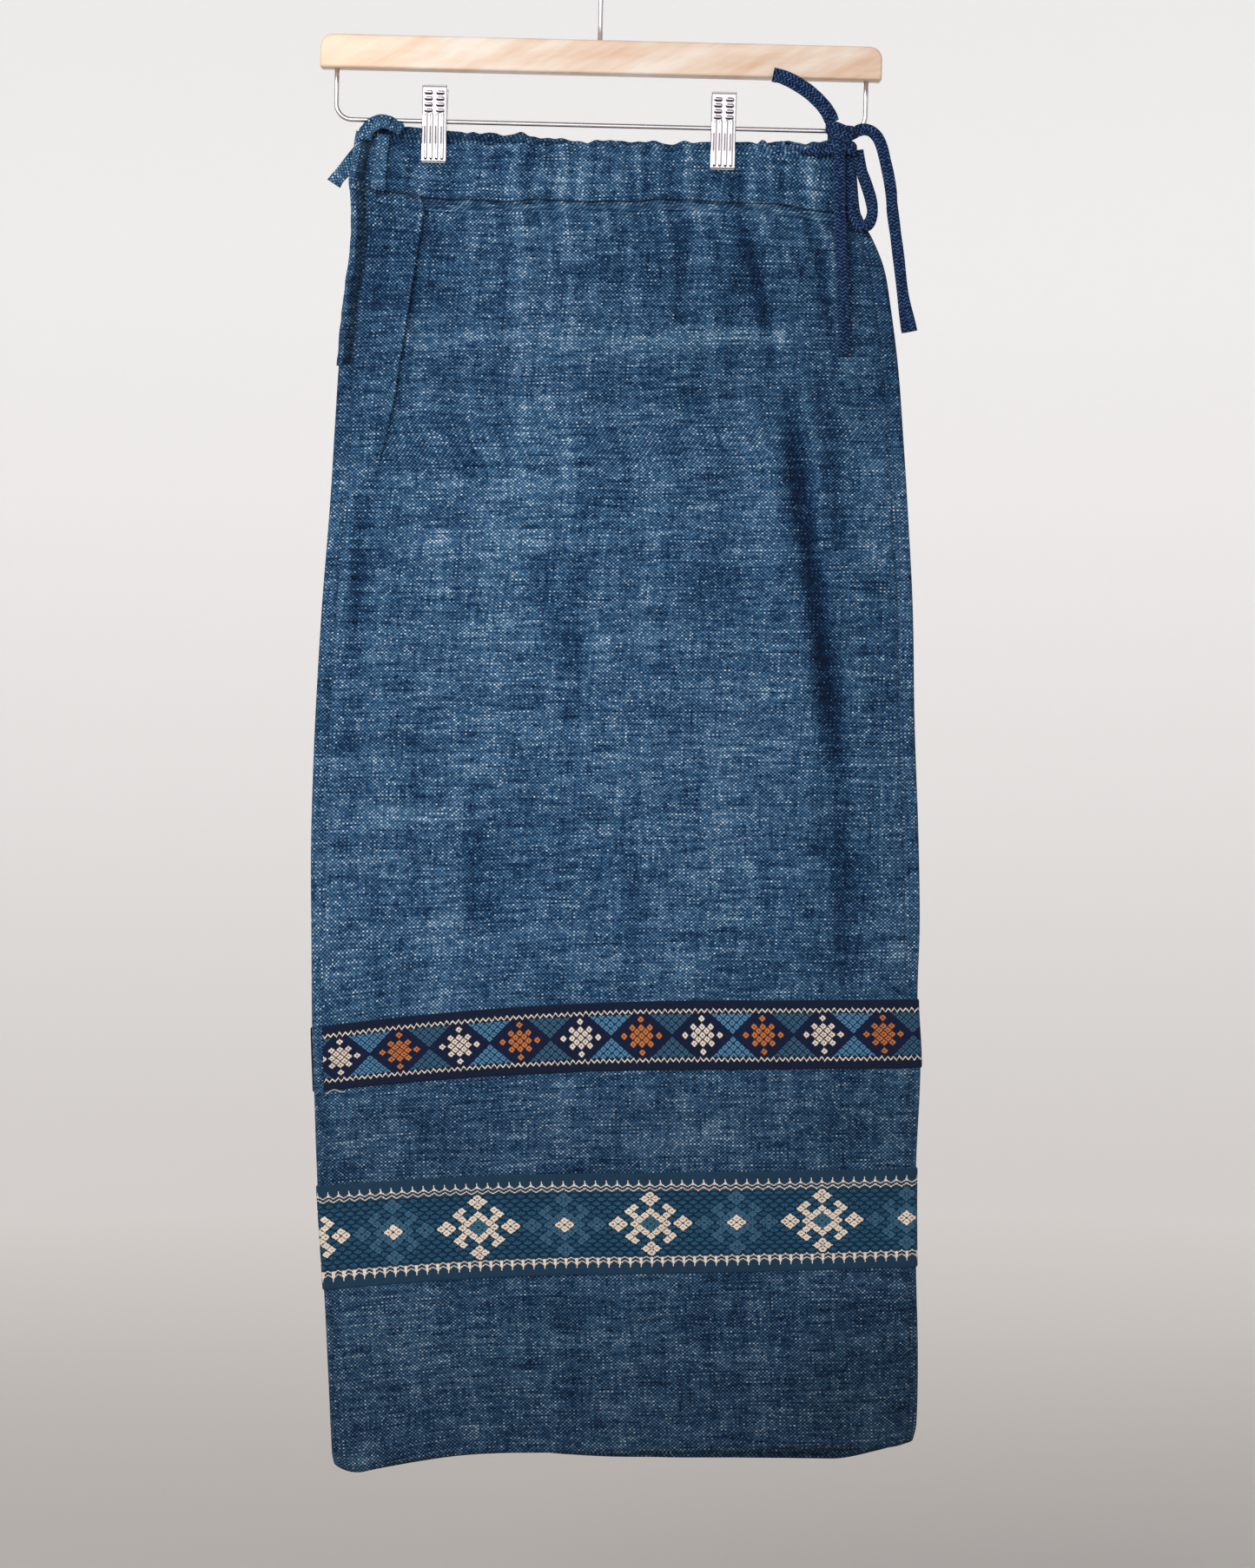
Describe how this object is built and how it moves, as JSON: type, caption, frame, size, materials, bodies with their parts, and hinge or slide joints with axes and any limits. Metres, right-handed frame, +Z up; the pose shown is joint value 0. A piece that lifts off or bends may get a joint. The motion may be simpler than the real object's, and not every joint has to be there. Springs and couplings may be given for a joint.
{
  "type": "tube skirt on a clip hanger",
  "caption": "Long indigo cotton tube skirt with a drawstring waist and two woven brocade bands, hung flat by clips from a wooden bar hanger with a wire hook.",
  "frame": {"origin": "inside the crown of the hanger's hook, on the point that rests on a rail or peg", "axes": "+Z up, +X to the right of a person who faces the skirt's front, -Y out of the skirt's front"},
  "size_m": [0.4232, 0.0386, 1.08],
  "materials": {
    "indigo_cotton": "handspun indigo-dyed plain weave cotton with pale flecks",
    "upper_brocade": "woven cotton brocade, navy ground with cream, orange and blue figures",
    "lower_brocade": "woven cotton brocade, teal and navy ground with cream figures",
    "navy_braid": "flat braided cotton cord, navy, matt",
    "pale_wood": "pale maple, clear satin lacquer",
    "bright_steel": "bright plated steel"
  },
  "bodies": {
    "root": {"skirt_front": "indigo_cotton", "skirt_back": "indigo_cotton", "casing_front": "indigo_cotton", "casing_back": "indigo_cotton", "band_upper_front": "upper_brocade", "band_upper_back": "upper_brocade", "band_lower_front": "lower_brocade", "band_lower_back": "lower_brocade", "placket_strip": "indigo_cotton", "placket_arch": "indigo_cotton", "carrier_strip": "indigo_cotton", "tie_end": "indigo_cotton", "drawstring_root": "navy_braid", "drawstring_knot": "navy_braid", "drawstring_end_up": "navy_braid", "drawstring_end_down": "navy_braid", "drawstring_end_side": "navy_braid", "drawstring_loop": "navy_braid", "hanger_hook": "bright_steel", "hanger_bar": "pale_wood", "hanger_wire": "bright_steel", "clip_left_front": "bright_steel", "clip_left_back": "bright_steel", "clip_left_spring": "bright_steel", "clip_right_front": "bright_steel", "clip_right_back": "bright_steel", "clip_right_spring": "bright_steel"}
  },
  "joints": []
}
